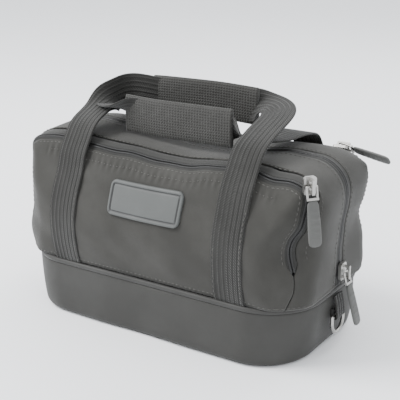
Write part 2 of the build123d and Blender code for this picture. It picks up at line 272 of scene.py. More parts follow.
def slope(p):
    """The field's slope along X, Y and Z by small steps each way; it points straight out of the cloth."""
    steps = np.eye(3) * 0.25
    return np.stack([(field(p + s) - field(p - s)) / 0.5 for s in steps], axis=-1)


def settle(p, level):
    """Move points along the slope until the field there has the asked level."""
    for _ in range(5):
        g = slope(p)
        p = p - ((field(p) - level) / np.sum(g * g, axis=-1))[..., None] * g
    return p


def cast(start, way, level=0.0, reach=170.0):
    """Where rays from inside meet the cloth, by halving the distance again and again."""
    near = np.zeros(start.shape[:-1])
    span = np.full(start.shape[:-1], reach)
    for _ in range(24):
        span = span / 2
        inside = field(start + way * (near + span)[..., None]) < level
        near = near + span * inside
    return start + way * near[..., None]


above_middle = cast(np.array([[0, 0, 90.0]]), np.array([[0, 0, 1.0]]))[0]
print("cloth above the middle of the base", above_middle.round(1))

# %% [markdown]
# The seams run over the bag like arches: up one end, round its corner, along the top and down the
# other end. A ray fan that walks along the same path finds each arch, with a distance from the middle
# plane that may change with height, because the pocket seams lean in towards the top.
# %% Seam arches
ROUND_WALK = 39.3         # a quarter turn round an upper corner
WALK = np.array([0, END_Z - seam_z, ROUND_WALK, 2 * END_X, ROUND_WALK, END_Z - seam_z]).cumsum()
SEAM_FOOT_Y, SEAM_FOOT_Z, SEAM_DRAW, SEAM_TALL = 63.0, 50.0, 14.0, 106.0


def fan(w):
    """Start and direction, in X and Z, of the ray at each share w of the walk from right to left."""
    d = w * WALK[-1]
    low_right, low_left = d <= WALK[1], d >= WALK[4]
    top = (d > WALK[2]) & (d < WALK[3])
    turn = np.where(d < WALK[3], (d - WALK[1]) / ROUND_WALK, 1 + (d - WALK[3]) / ROUND_WALK) * np.pi / 2
    turn = np.where(low_right, 0, np.where(low_left, np.pi, np.where(top, np.pi / 2, turn)))
    x = np.where(d <= WALK[2], END_X, np.where(top, END_X - (d - WALK[2]), -END_X))
    z = np.where(low_right, seam_z + d, np.where(low_left, seam_z + WALK[5] - d, END_Z))
    return x, z, np.cos(turn), np.sin(turn)


def zip_y(z):
    """Distance of a pocket's seam from the middle plane at a height."""
    return SEAM_FOOT_Y - SEAM_DRAW * (z - SEAM_FOOT_Z) / SEAM_TALL


def arch(w, deep, level=0.0, rounds=5):
    """Arch over the bag: deep turns a height into a distance from the middle plane, with its sign."""
    x, z, cx, cz = fan(w)
    height = z.copy()
    for _ in range(rounds):
        y = deep(height)
        point = cast(np.stack([x, y, z], -1), np.stack([cx, 0 * cx, cz], -1), level)
        height = point[..., 2]
    return point


def frames(curve):
    """Unit vectors along a curve on the cloth, out of the cloth, and sideways (out x along)."""
    along = np.gradient(curve, axis=0)
    along /= np.linalg.norm(along, axis=1, keepdims=True)
    out = slope(curve)
    out /= np.linalg.norm(out, axis=1, keepdims=True)
    return along, out, np.cross(out, along)


def strip(curve, offsets, levels):
    """Grid beside a curve: each point steps sideways by its offset and settles at its level."""
    side = frames(curve)[2]
    offsets, levels = np.broadcast_arrays(np.asarray(offsets, float), np.asarray(levels, float))
    if offsets.ndim == 1:
        offsets, levels = offsets[None, :], levels[None, :]
    points = curve[:, None, :] + side[:, None, :] * offsets[..., None]
    return settle(points, np.broadcast_to(levels, points.shape[:2]))


def side_way(curve, side):
    """Sign of the sideways step that leads away from the middle plane, halfway along a curve."""
    return 1.0 if frames(curve)[2][len(curve) // 2, 1] * side > 0 else -1.0


walk = np.linspace(0, 1, 640)
middle_arch = arch(walk, lambda z: 0.0 * z)
seam_arch = {side: arch(walk, lambda z: side * zip_y(z)) for side in (-1, 1)}
MAIN_WAY = {side: side_way(middle_arch, side) for side in (-1, 1)}
SEAM_WAY = {side: side_way(seam_arch[side], side) for side in (-1, 1)}
print("pocket seam length", run_length(seam_arch[-1][None], 1)[0, -1, ].round(0), "mm")

# %% [markdown]
# Dyed nylon looks flat in a picture but alive in the hand: the threads cross, the dye is a little
# uneven, and the slack parts are rubbed paler. These effects are built once as node groups and put
# into each finish with its own numbers, so the whole bag looks cut from related cloth.
# %% Effects shared by the finishes
def new_group(name, inputs, outputs):
    """Shader node group with named sockets; returns the group, its inputs and its outputs."""
    group = bpy.data.node_groups.new(name, "ShaderNodeTree")
    for label, kind, value in inputs:
        socket = group.interface.new_socket(label, in_out="INPUT", socket_type=kind)
        if value is not None:
            socket.default_value = value
    for label, kind in outputs:
        group.interface.new_socket(label, in_out="OUTPUT", socket_type=kind)
    return group, group.nodes.new("NodeGroupInput"), group.nodes.new("NodeGroupOutput")


def put(tree, kind, values=(), links=(), **settings):
    """Add a node with its settings, its values by input and its links by input."""
    node = tree.nodes.new(kind)
    for key, value in settings.items():
        setattr(node, key, value)
    for key, value in dict(values).items():
        node.inputs[key].default_value = value
    for key, source in dict(links).items():
        tree.links.new(source, node.inputs[key])
    return node


def maths(tree, operation, a, b=None):
    """One sum on one or two numbers or sockets; returns its result."""
    node = tree.nodes.new("ShaderNodeMath")
    node.operation = operation
    for index, item in enumerate((a, b)):
        if isinstance(item, (int, float)):
            node.inputs[index].default_value = item
        elif item is not None:
            tree.links.new(item, node.inputs[index])
    return node.outputs[0]


FLOAT, VECTOR, COLOUR = "NodeSocketFloat", "NodeSocketVector", "NodeSocketColor"

weave, gi, go = new_group("Weave", [("Cloth", VECTOR, None), ("Threads", FLOAT, 14.0)], [("Height", FLOAT)])
split = put(weave, "ShaderNodeSeparateXYZ", links={0: gi.outputs["Cloth"]})
turns = [maths(weave, "MULTIPLY", maths(weave, "MULTIPLY", split.outputs[i], gi.outputs["Threads"]), math.pi)
         for i in (0, 1)]
over = maths(weave, "MULTIPLY", maths(weave, "SINE", turns[0]), maths(weave, "SINE", turns[1]))
weave.links.new(maths(weave, "ADD", maths(weave, "MULTIPLY", over, 0.5), 0.5), go.inputs["Height"])

ribs, gi, go = new_group("Ribs", [("Cloth", VECTOR, None), ("Ribs", FLOAT, 3.0), ("Along", FLOAT, 12.0)],
                         [("Height", FLOAT)])
split = put(ribs, "ShaderNodeSeparateXYZ", links={0: gi.outputs["Cloth"]})
across = maths(ribs, "MULTIPLY", maths(ribs, "MULTIPLY", split.outputs[0], gi.outputs["Ribs"]), math.pi)
along = maths(ribs, "MULTIPLY", maths(ribs, "MULTIPLY", split.outputs[1], gi.outputs["Along"]), math.pi)
cord = maths(ribs, "ABSOLUTE", maths(ribs, "SINE", across))
pick = maths(ribs, "MULTIPLY", maths(ribs, "SINE", along), 0.25)
ribs.links.new(maths(ribs, "ADD", cord, pick), go.inputs["Height"])

patina, gi, go = new_group(
    "Patina", [("Place", VECTOR, None), ("Colour", COLOUR, (0.1, 0.1, 0.1, 1)), ("Pale", COLOUR, (0.2, 0.2, 0.2, 1)),
               ("Amount", FLOAT, 0.5), ("Fleck", FLOAT, 0.3)], [("Colour", COLOUR), ("Rub", FLOAT)])
cloud = put(patina, "ShaderNodeTexNoise", {"Scale": 22.0, "Detail": 5.0, "Roughness": 0.6},
            {"Vector": gi.outputs["Place"]})
fleck = put(patina, "ShaderNodeTexNoise", {"Scale": 900.0, "Detail": 2.0}, {"Vector": gi.outputs["Place"]})
rub = put(patina, "ShaderNodeMapRange", {"From Min": 0.42, "From Max": 0.72}, {"Value": cloud.outputs["Fac"]})
spot = maths(patina, "MULTIPLY", maths(patina, "SUBTRACT", fleck.outputs["Fac"], 0.5), gi.outputs["Fleck"])
share = maths(patina, "ADD", maths(patina, "MULTIPLY", rub.outputs["Result"], gi.outputs["Amount"]), spot)
mix = put(patina, "ShaderNodeMix", links={0: share, 6: gi.outputs["Colour"], 7: gi.outputs["Pale"]},
          data_type="RGBA", clamp_factor=True)
patina.links.new(mix.outputs[2], go.inputs["Colour"])
patina.links.new(rub.outputs["Result"], go.inputs["Rub"])
print("effects", [g.name for g in bpy.data.node_groups])

# %% [markdown]
# A finish is a Principled shader with one of the woven patterns as its bump, a patina for its colour
# and a roughness that changes a little with the rub. Cloth also takes some sheen, because fine fibres
# catch light at a grazing angle. Sizes of patterns are given in threads for each centimetre.
# %% Cloth, webbing and tape finishes
def finish(name, colour, pale, pattern=None, counts=(14.0,), bump=0.25, depth=0.0003, rough=0.85,
           sheen=0.15, amount=0.5, fleck=0.3, metal=0.0, specular=0.35):
    """Material with patina and, where asked, a pattern that follows the piece's own cloth map."""
    material = bpy.data.materials.new(name)
    material.use_nodes = True
    tree = material.node_tree
    shader = tree.nodes["Principled BSDF"]
    place = put(tree, "ShaderNodeTexCoord").outputs
    worn = put(tree, "ShaderNodeGroup", node_tree=patina)
    worn.inputs["Colour"].default_value = (*colour, 1)
    worn.inputs["Pale"].default_value = (*pale, 1)
    worn.inputs["Amount"].default_value = amount
    worn.inputs["Fleck"].default_value = fleck
    tree.links.new(place["Object"], worn.inputs["Place"])
    tree.links.new(worn.outputs["Colour"], shader.inputs["Base Color"])
    rough_map = put(tree, "ShaderNodeMapRange", {"To Min": rough + 0.05, "To Max": rough - 0.1},
                    {"Value": worn.outputs["Rub"]})
    tree.links.new(rough_map.outputs["Result"], shader.inputs["Roughness"])
    shader.inputs["Sheen Weight"].default_value = sheen
    shader.inputs["Sheen Roughness"].default_value = 0.4
    shader.inputs["Metallic"].default_value = metal
    shader.inputs["Specular IOR Level"].default_value = specular
    if pattern is not None:
        threads = put(tree, "ShaderNodeGroup", node_tree=pattern)
        tree.links.new(place["UV"], threads.inputs["Cloth"])
        for label, count in zip([s.name for s in threads.inputs][1:], counts):
            threads.inputs[label].default_value = count
        height = threads.outputs["Height"]
    else:
        grain = put(tree, "ShaderNodeTexNoise", {"Scale": counts[0], "Detail": 4.0}, {"Vector": place["Object"]})
        height = grain.outputs["Fac"]
    relief = put(tree, "ShaderNodeBump", {"Strength": bump, "Distance": depth}, {"Height": height})
    tree.links.new(relief.outputs["Normal"], shader.inputs["Normal"])
    return material


FINISHES = {  # colour, rubbed colour, pattern, counts, bump, its depth in metres, other settings
    "body_fabric": ((0.0266, 0.0259, 0.0231), (0.0406, 0.0392, 0.0350), weave, (22.0,), 0.3, 0.0003, dict()),
    "boot_fabric": ((0.0245, 0.0241, 0.0218), (0.0320, 0.0313, 0.0286), weave, (30.0,), 0.12, 0.0002,
                    dict(rough=0.62, sheen=0.05, amount=0.6, fleck=0.12)),
    "piping": ((0.0240, 0.0234, 0.0216), (0.0330, 0.0324, 0.0300), weave, (30.0,), 0.15, 0.0002,
               dict(rough=0.6)),
    "webbing": ((0.0132, 0.0129, 0.0116), (0.0220, 0.0215, 0.0193), ribs, (2.5, 9.0), 0.7, 0.0008,
                dict(rough=0.75)),
    "grip_webbing": ((0.0266, 0.0261, 0.0238), (0.0427, 0.0418, 0.0380), ribs, (4.5, 9.0), 0.6, 0.0006,
                     dict(rough=0.75)),
    "zip_tape": ((0.0210, 0.0210, 0.0196), (0.0294, 0.0287, 0.0266), weave, (34.0,), 0.3, 0.0002, dict()),
    "lining": ((0.05, 0.05, 0.05), (0.07, 0.07, 0.07), weave, (30.0,), 0.15, 0.0002, dict(rough=0.6)),
    "pad": ((0.045, 0.045, 0.045), (0.065, 0.065, 0.065), weave, (26.0,), 0.3, 0.0003, dict()),
    "board": ((0.02, 0.02, 0.02), (0.03, 0.03, 0.03), None, (400.0,), 0.1, 0.0002, dict(rough=0.6, sheen=0)),
    "zip_coil": ((0.012, 0.012, 0.012), (0.022, 0.022, 0.021), None, (300.0,), 0.1, 0.0002,
                 dict(rough=0.45, sheen=0)),
    "thread": ((0.055, 0.054, 0.050), (0.085, 0.083, 0.076), None, (2500.0,), 0.3, 0.0002, dict()),
    "patch_rubber": ((0.0680, 0.0714, 0.0697), (0.0978, 0.1020, 0.0994), None, (1500.0,), 0.15, 0.0001,
                     dict(rough=0.55, sheen=0.0, amount=0.4, fleck=0.15)),
    # painted shade: a darker rubber for the label's sunk border, standing in for the shade that falls in its groove
    "patch_painted_shade": ((0.030, 0.031, 0.031), (0.045, 0.046, 0.046), None, (1500.0,), 0.15, 0.0001,
                   dict(rough=0.5, sheen=0.0)),
    "pull_rubber": ((0.0680, 0.0688, 0.0656), (0.0960, 0.0960, 0.0920), None, (1200.0,), 0.2, 0.0001,
                    dict(rough=0.55, sheen=0.0)),
    "slider_metal": ((0.34, 0.335, 0.32), (0.5, 0.49, 0.47), None, (700.0,), 0.12, 0.0001,
                     dict(rough=0.34, sheen=0.0, metal=1.0, specular=0.5)),
}
LOOK = {name: finish(name, *row[:-1], **row[-1]) for name, row in FINISHES.items()}


def dress(obj, look, body=None, nodes=()):
    """Give a piece its finish, its body and the solid parts it stands for."""
    obj.data.materials.clear()
    obj.data.materials.append(LOOK[look])
    if body:
        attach(obj, body)
    if nodes:
        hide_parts(*nodes)
    return obj


print(len(LOOK), "finishes")

# %% [markdown]
# The boot is a tub of coated cloth over stiff sheet. Its section is one closed line, from the middle
# of the floor out, round the bottom edge, up the wall, over the rim and back inside, and this line is
# carried round the plan: a rectangle with round corners that shrinks evenly as it moves inwards.
# %% The boot
BOOT_CORNER, BOOT_DRAW = 46.0, 5.0  # the draw is how far each end comes in towards the floor


def plan_walk(arc=44, long=150, short=60):
    """Signs of the corner centre and the turn round it for each step of a walk round the plan."""
    across, deep, turns = [], [], []
    corners = ((1, 1, -1, 1), (-1, 1, -1, -1), (-1, -1, 1, -1), (1, -1, 1, 1))
    for quarter, (sx, sy, nx, ny) in enumerate(corners):
        steps = long if sy == ny else short
        share = np.linspace(0, 1, steps, endpoint=False)
        turns += [np.linspace(quarter, quarter + 1, arc, endpoint=False), np.full(steps, quarter + 1.0)]
        across += [np.full(arc, sx), sx + (nx - sx) * share]
        deep += [np.full(arc, sy), sy + (ny - sy) * share]
    return np.concatenate(across), np.concatenate(deep), np.concatenate(turns) * np.pi / 2


def plan_ring(inset, height):
    """Rounded rectangle round the boot, inset millimetres in from the rim's outline, one ring a row."""
    across, deep, turns = plan_walk()
    half_x, half_y = (boot_high[0] - inset)[:, None], (boot_high[1] - inset)[:, None]
    corner = np.maximum(BOOT_CORNER - inset, 0.5)[:, None]
    x = across * (half_x - corner) + corner * np.cos(turns)
    y = deep * (half_y - corner) + corner * np.sin(turns)
    return np.stack([x, y, np.broadcast_to(height[:, None], x.shape)], axis=-1)


def boot_section():
    """Inset and height along the boot's section, from the floor's middle out and back inside."""
    floor = np.linspace(60, 7, 8)
    bend = np.linspace(0, np.pi / 2, 9)
    wall = np.linspace(6.5, 45.4, 22)
    bulge = -0.9 * np.sin(np.pi * np.clip((wall - 4) / 42, 0, 1))
    inset = [floor, 6 - 6 * np.sin(bend), bulge, [0.8, 2.2, 3.0], np.full(12, 3.0), [3.4, 5.0],
             np.linspace(8, 60, 6)]
    height = [0 * floor, 6 - 6 * np.cos(bend), wall, [46, 46, 45.2], np.linspace(44, 8, 12), [4.5, 3.1],
              np.full(6, 3.0)]
    return np.concatenate(inset), np.concatenate(height)


inset, height = boot_section()
boot = plan_ring(inset, height)
boot[..., 0] *= 1 - (BOOT_DRAW / boot_high[0]) * np.clip(1 - boot[..., 2] / boot_high[2], 0, 1)
wave = 0.45 * np.sin(boot @ np.array([0.045, 0.03, 0.06])) + 0.3 * np.sin(boot @ np.array([-0.08, 0.06, 0.09]) + 2)
away = boot * np.array([1, 1, 0]) / np.maximum(np.linalg.norm(boot[..., :2], axis=-1), 1)[..., None]
boot = boot + away * (wave * (boot[..., 2] > 1) * (boot[..., 2] < 44))[..., None]
boot_piece = tube_piece("boot_tub", boot)
dress(boot_piece, "boot_fabric", "base", nodes=["base_boot"])
print("boot", len(boot_piece.data.polygons), "faces")

# %% [markdown]
# A folded binding closes the seam between the boot and the cloth body. It is a flat roll: a rounded
# bar carried round the same plan.
# %% Binding round the boot's rim
turn = np.linspace(0, 2 * np.pi, 15)
roll_in = 0.9 - 1.9 * np.sign(np.cos(turn)) * np.abs(np.cos(turn)) ** 0.7
roll_up = (piping_low[2] + seam_z) / 2 - 0.2 + 2.1 * np.sign(np.sin(turn)) * np.abs(np.sin(turn)) ** 0.8
roll = plan_ring(roll_in, roll_up)
roll = np.concatenate([roll, roll[:, :1]], axis=1)
uv = np.stack([run_length(roll, 1), run_length(roll, 0)], axis=2)
binding = add_mesh("boot_binding", roll.reshape(-1, 3), grid_faces(*roll.shape[:2]), uv.reshape(-1, 2))
weld(binding)
dress(binding, "piping", "base", nodes=["base_piping"])
print("binding", len(binding.data.polygons), "faces")

# %% [markdown]
# Each half of the body is one panel that runs from the main zip to the pocket's seam, up over the bag
# and down both ends. Its rows follow the arch, and its columns walk from the zip to the seam. Above
# the pocket's zip foot the panel stops short, where the zip's wide tape takes over.
# %% Main panels with their end gussets
SIDES = {"front": -1, "rear": 1}
ZIP_FOOT = 80.0
TAPE_WIDE, TAPE_NARROW = 10.0, 3.6
CLOTH_THICK = 2.4
MAIN_HALF = 6.6           # each panel starts this far from the main zip's middle


def panel_end(z, wide):
    """Distance kept from the pocket's seam: wide on top, narrow down the sides, least at the foot."""
    spread = TAPE_NARROW + (wide - TAPE_NARROW) * smooth_step(122, 142, z)
    return 0.4 + smooth_step(ZIP_FOOT - 3, ZIP_FOOT + 7, z) * spread


def main_panel(name, side):
    """Grid of arches between the main zip and the pocket's seam."""
    rows = []
    for share in np.linspace(0, 1, 56):
        rows.append(arch(walk[::2], lambda z: side * (
            MAIN_HALF + share * (zip_y(z) - MAIN_HALF - panel_end(z, TAPE_WIDE)))))
    obj = sheet_piece(name + "_half", np.stack(rows), (0, 0, 1))
    thicken(obj, CLOTH_THICK)
    return dress(obj, "body_fabric", name + "_half", nodes=[name + "_main_panel"])


for name, side in SIDES.items():
    panel = main_panel(name, side)
    print(panel.name, len(panel.data.polygons), "faces")

# %% [markdown]
# A pocket's panel is bounded by its seam's arch and by the boot. Its grid is filled in from these four
# edges, each point a blend of the edges across from it, and is then pressed onto the cloth from the
# middle of the bag straight out, so that it meets the seam exactly.
# %% Pocket panels
def share_out(curve, count):
    """Points at equal distances along a curve."""
    length = run_length(curve[None], 1)[0]
    wanted = np.linspace(0, length[-1], count)
    return np.stack([np.interp(wanted, length, curve[:, i]) for i in range(3)], axis=-1)


def fill_between(border, rows, columns, split=0.2):
    """Blend of four edges: two sides and a top cut from the border arch, and a straight foot."""
    cut = int(len(border) * split)
    right = share_out(border[:cut + 1], rows)
    left = share_out(border[::-1][:cut + 1], rows)
    top = share_out(border[cut:len(border) - cut], columns)
    s = np.linspace(0, 1, columns)[None, :, None]
    t = np.linspace(0, 1, rows)[:, None, None]
    foot = right[0] + s[0] * (left[0] - right[0])
    flat = (1 - t) * foot + t * top + (1 - s) * right[:, None] + s * left[:, None]
    return flat - ((1 - s) * ((1 - t) * right[0] + t * right[-1]) + s * ((1 - t) * left[0] + t * left[-1]))


def press(flat, side, level=0.0):
    """Push points straight out from the middle plane onto the cloth."""
    start = flat * np.array([1.0, 0.0, 1.0])
    way = np.broadcast_to(np.array([0.0, side, 0.0]), start.shape)
    return cast(start, way, level)


def pocket_panel(name, side):
    """Grid inside the seam's arch, with a row of puckers under the zip's top-stitch."""
    edge = panel_end(seam_arch[side][:, 2], 4.0)
    border = strip(seam_arch[side], edge[:, None] * SEAM_WAY[side], 0.0)[:, 0]
    flat = fill_between(border, 110, 330)
    grid = press(flat, side)
    gap = np.interp(grid[..., 0], *top_line(border)) - grid[..., 2]
    pucker = np.exp(-((gap - 7.5) / 4.0) ** 2) * np.sin(grid[..., 0] * 2 * np.pi / 6.4) * 0.35
    grid = settle(grid, pucker * (np.abs(grid[..., 0]) < 112))
    obj = sheet_piece(name + "_pocket", grid, (0, side, 0))
    thicken(obj, CLOTH_THICK)
    return dress(obj, "body_fabric", name + "_flap", nodes=[name + "_pocket_panel"])


def top_line(border):
    """Height of a border's upper edge for each place along X, sorted for interpolation."""
    upper = border[(border[:, 2] > 135)]
    order = np.argsort(upper[:, 0])
    return upper[order, 0], upper[order, 2]


for name, side in SIDES.items():
    panel = pocket_panel(name, side)
    print(panel.name, len(panel.data.polygons), "faces")

# %% [markdown]
# A zip is two tapes and a chain of coil. The tapes are strips beside the arch, and each half of the
# chain is a strip whose surface rises and falls for each turn of the coil. The halves ride on their
# own panels, so that the zip parts cleanly when the bag is opened.
# %% Zip tapes and chains
COIL_PITCH = 1.26


def zip_half(label, curve, way, tape_wide, body, nodes, tongue=False):
    """A tape and half a chain on one side of a curve; a tongue reaches in under the other half."""
    reach = np.broadcast_to(tape_wide, (len(curve),))[:, None] - 2.3
    across = (2.3 + reach * np.array([0.0, 0.15, 0.5, 0.9, 1.0])) * way
    levels = np.broadcast_to(np.array([-0.2, -0.5, -0.5, -0.5, -0.9]), across.shape)
    tape = sheet_piece(label + "_tape", strip(curve, across, levels), slope(curve[len(curve) // 2]))
    dress(thicken(tape, 1.0), "zip_tape", body, nodes=[nodes + "_tape"])
    fine = share_out(curve, int(run_length(curve[None], 1)[0, -1] / (COIL_PITCH / 3)))
    turns = 0.5 + 0.5 * np.cos(run_length(fine[None], 1)[0] * 2 * np.pi / COIL_PITCH)
    shape = np.array([-1.6, 0.25, 0.75, 0.6, -0.1, -1.6])[None, :]
    shape = shape + turns[:, None] * np.array([0, 0.2, 0.5, 0.5, 0.2, 0])
    chain_across = np.array([0.12, 0.2, 0.8, 1.7, 2.4, 2.7])
    if tongue:
        chain_across = np.concatenate([[-0.7], chain_across])
        shape = np.pad(shape, ((0, 0), (1, 0)), constant_values=-2.4)
    coil = sheet_piece(label + "_chain", strip(fine, chain_across * way, shape - 0.6), slope(fine[len(fine) // 2]))
    dress(coil, "zip_coil", body, nodes=[nodes + "_coil"])


for name, side in SIDES.items():
    zip_half(name + "_main_zip", middle_arch, MAIN_WAY[side], 7.4, name + "_half", name + "_main_zip", side < 0)
    above = seam_arch[side][seam_arch[side][:, 2] > ZIP_FOOT]
    upper, lower = name + "_pocket_zip_upper", name + "_pocket_zip_lower"
    zip_half(upper, above, -SEAM_WAY[side], 0.8 + panel_end(above[:, 2], TAPE_WIDE), name + "_half", upper)
    zip_half(lower, above, SEAM_WAY[side], 5.0, name + "_flap", lower)

# %% [markdown]
# The label is a blank rubber patch: a rounded rectangle of rings that shrink towards its middle, each
# ring at its own height over the cloth, which gives a raised rim, a sunk border and a flat field. The
# rubber is too stiff to follow small folds, so everything but its outer edge lies on the one even
# surface y = a + bx + cz + dx^2 + ez^2 + fxz that comes nearest to the cloth.
# %% Blank label patch
def round_box(half_x, half_z, corner, count=144):
    """Outline of a rounded rectangle round the origin."""
    turn = np.linspace(0, 2 * np.pi, count, endpoint=False) + 1e-3
    cx, cz = np.sign(np.cos(turn)) * (half_x - corner), np.sign(np.sin(turn)) * (half_z - corner)
    bend = np.stack([cx + corner * np.cos(turn), cz + corner * np.sin(turn)], axis=-1)
    closed = np.concatenate([bend, bend[:1]])
    length = np.concatenate([[0], np.cumsum(np.linalg.norm(np.diff(closed, axis=0), axis=1))])
    wanted = np.linspace(0, length[-1], count, endpoint=False)
    return np.stack([np.interp(wanted, length, closed[:, i]) for i in (0, 1)], axis=-1)


label_low, label_high = box_mm("label_patch")
label_mid = (label_low + label_high) / 2
label_half = (label_high - label_low) / 2
RING_IN = np.array([0.0, 0.0, 0.3, 0.9, 1.8, 2.2, 2.6, 3.4, 3.8, 4.2, 5.0, 7.0, 9.5] + 5 * [11.0])
RING_UP = np.array([-0.6, 1.5, 2.0, 2.3, 2.3, 2.1, 1.3, 1.3, 1.8] + 9 * [1.9])
RING_SCALE = np.array(13 * [1.0] + [0.97, 0.7, 0.4, 0.15, 0.02])
rings = []
for inside, scale in zip(RING_IN, RING_SCALE):
    outline = round_box(label_half[0] - inside, label_half[2] - inside, max(5.0 - inside, 0.25)) * scale
    rings.append(np.stack([outline[:, 0] + label_mid[0], 0 * outline[:, 0], outline[:, 1] + label_mid[2]], axis=-1))
rings = press(np.stack(rings), -1, np.broadcast_to(RING_UP[:, None], (len(RING_IN), 144)))
across, high = (rings[..., i].ravel() - label_mid[i] for i in (0, 2))
bend_terms = np.stack([0 * across + 1, across, high, across**2, high**2, across * high], axis=1)
on_cloth = (rings[..., 1] + RING_UP[:, None]).ravel()
even = bend_terms @ np.linalg.lstsq(bend_terms, on_cloth, rcond=None)[0]
rings[1:, :, 1] = (even.reshape(rings.shape[:2]) - RING_UP[:, None])[1:]
label = dress(tube_piece("blank_label", rings), "patch_rubber", "front_flap", nodes=["label_patch"])
# the faces of the sunk border take the darker rubber finish: painted shade in the groove, on top of its real sunk
# shape
label.data.materials.append(LOOK["patch_painted_shade"])
middles = np.zeros(len(label.data.polygons) * 3)
label.data.polygons.foreach_get("center", middles)
middles = middles.reshape(-1, 3) / METRE - label_mid
edge_x, edge_z = label_half[0] - np.abs(middles[:, 0]), label_half[2] - np.abs(middles[:, 2])
groove_shade_mask = (np.minimum(edge_x, edge_z) > 2.3) & (np.minimum(edge_x, edge_z) < 3.7)
label.data.polygons.foreach_set("material_index", groove_shade_mask.astype(np.int32))
print("label", label_half[0].round(1) * 2, "by", label_half[2].round(1) * 2)

# %% [markdown]
# The handles are one long webbing each. A path runs up the pocket panel, over to the grip and down the
# other side. At every point of the path two unit vectors say which way the webbing is wide and which
# way it faces, and the webbing's ribbed section is carried along them.
# %% Webbing carried along a path
WEB_HALF = 14.0
HANDLE_X = 80.0
FLAT = (1, 0, 0)          # width direction of a strap that lies on the cloth


def web_section(half_wide, half_thick, ridges, ridge, count=72):
    """Closed section of webbing: flat, with ridges on both faces that fade at the selvedges."""
    across = np.linspace(-1, 1, count)
    fade = np.clip((1 - np.abs(across)) * 14, 0, 1) ** 0.5
    face = fade * (half_thick + ridge * np.abs(np.sin(across * ridges * np.pi / 2)))
    top = np.stack([across * half_wide, face], axis=-1)
    under = np.stack([across[::-1] * half_wide, -face], axis=-1)
    return np.concatenate([top, under[1:-1]])


def carry(path, wide, out, section):
    """Rings of a section along a path: its first number goes along wide, its second along out."""
    return (path[:, None] + wide[:, None] * section[None, :, :1] + out[:, None] * section[None, :, 1:])


def soften(values, reach):
    """Average each point with its neighbours along the path, with both ends kept."""
    kernel = np.exp(-0.5 * (np.arange(-3 * reach, 3 * reach + 1) / reach) ** 2)
    kernel /= kernel.sum()
    start = 2 * values[0] - values[1:3 * reach + 1][::-1]
    stop = 2 * values[-1] - values[-3 * reach - 1:-1][::-1]
    longer = np.concatenate([start, values, stop])
    return np.stack([np.convolve(longer[:, i], kernel, "valid") for i in range(values.shape[1])], axis=-1)


def unit(v):
    """Each vector at a length of one."""
    return v / np.linalg.norm(v, axis=-1, keepdims=True)


def strap_frames(stations, pitch=0.9, reach=7):
    """Evenly spaced path, width and face directions from stations of (place, width direction)."""
    places = np.array([s[0] for s in stations], float)
    widths = np.array([s[1] for s in stations], float)
    length = run_length(places[None], 1)[0]
    wanted = np.linspace(0, length[-1], int(length[-1] / pitch))
    path = soften(np.stack([np.interp(wanted, length, places[:, i]) for i in range(3)], -1), reach)
    wide = soften(np.stack([np.interp(wanted, length, widths[:, i]) for i in range(3)], -1), reach)
    along = unit(np.gradient(path, axis=0))
    wide = unit(wide - along * np.sum(wide * along, axis=-1, keepdims=True))
    return path, wide, np.cross(along, wide)


def sewn_run(x, side, top=139.0):
    """Middle line of a strap that is sewn up a pocket's panel at a place along X."""
    z = np.linspace(seam_z + 0.2, top, 30)
    flat = np.stack([0 * z + x, 0 * z, z], axis=-1)
    return press(flat, side, 0.75 + 1.7 * smooth_step(124, 138, z))


section = web_section(WEB_HALF, 0.65, 14, 0.3)
print("webbing section", section.shape[0], "points")

# %% [markdown]
# Two pieces make each leg, because the webbing bends where it leaves its stitches: the length sewn to
# the pocket, and the free leg, which starts on the pocket and ends on the handle. The corner beside
# the grip is a quarter turn. On three corners the webbing turns in its own plane, like a flat elbow;
# on the front left one it twists upright first and then bends, as a loosely held handle does.
# %% Handle legs
def cut_at(path, y, z):
    """Number of the path's point nearest to a line along X."""
    return int(np.argmin(np.hypot(path[:, 1] - y, path[:, 2] - z)))


def elbow(start, rise, end, radius, upright=0.0):
    """Stations of a quarter turn from the rising leg into the grip, flat or upright."""
    start, rise = np.array(start, float), unit(np.array(rise, float))
    inwards = np.array([-np.sign(end), 0, 0])
    flat_wide = np.array([1.0, 0, 0])
    stations = []
    for turn in np.linspace(0, np.pi / 2, 7):
        place = start + radius * (math.sin(turn) * rise + (1 - math.cos(turn)) * inwards)
        plane = math.cos(turn) * flat_wide + math.sin(turn) * rise * np.sign(end)
        standing = np.array([0.25 * math.cos(turn), -0.2, 1.0]) * np.sign(end)
        stations.append((place, plane * (1 - upright) + standing * upright))
    return stations


def grip_run(middle, end, start_x):
    """Stations along the grip to its middle, the webbing standing upright."""
    return [((end * x, middle[1], middle[2]), (0, 0, end)) for x in (start_x, 30.0, 15.0, 0.0)]


def leg(name, side, x, stations, bend, nodes):
    """Sewn length and free leg of one strap; the sewn length goes on the pocket's body."""
    sewn = sewn_run(x, side)
    path, wide, out = strap_frames([(tuple(p), FLAT) for p in sewn] + stations)
    sewn_count = cut_at(path, *sewn[-1][1:])
    if np.dot(out[sewn_count // 2], (0, side, 0)) < 0:
        wide, out = -wide, -out
    rings = carry(path, wide, out, section)
    cut = cut_at(path[:len(path) // 2], *bend) - 4
    tag = "right" if x > 0 else "left"
    sewn_piece = dress(tube_piece(f"{name}_{tag}_sewn_strap", rings[:cut + 1]), "webbing", name + "_flap")
    free = dress(tube_piece(f"{name}_{tag}_strap", rings[cut:]), "webbing")
    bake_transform(free)
    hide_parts(nodes[0])
    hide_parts(nodes[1])


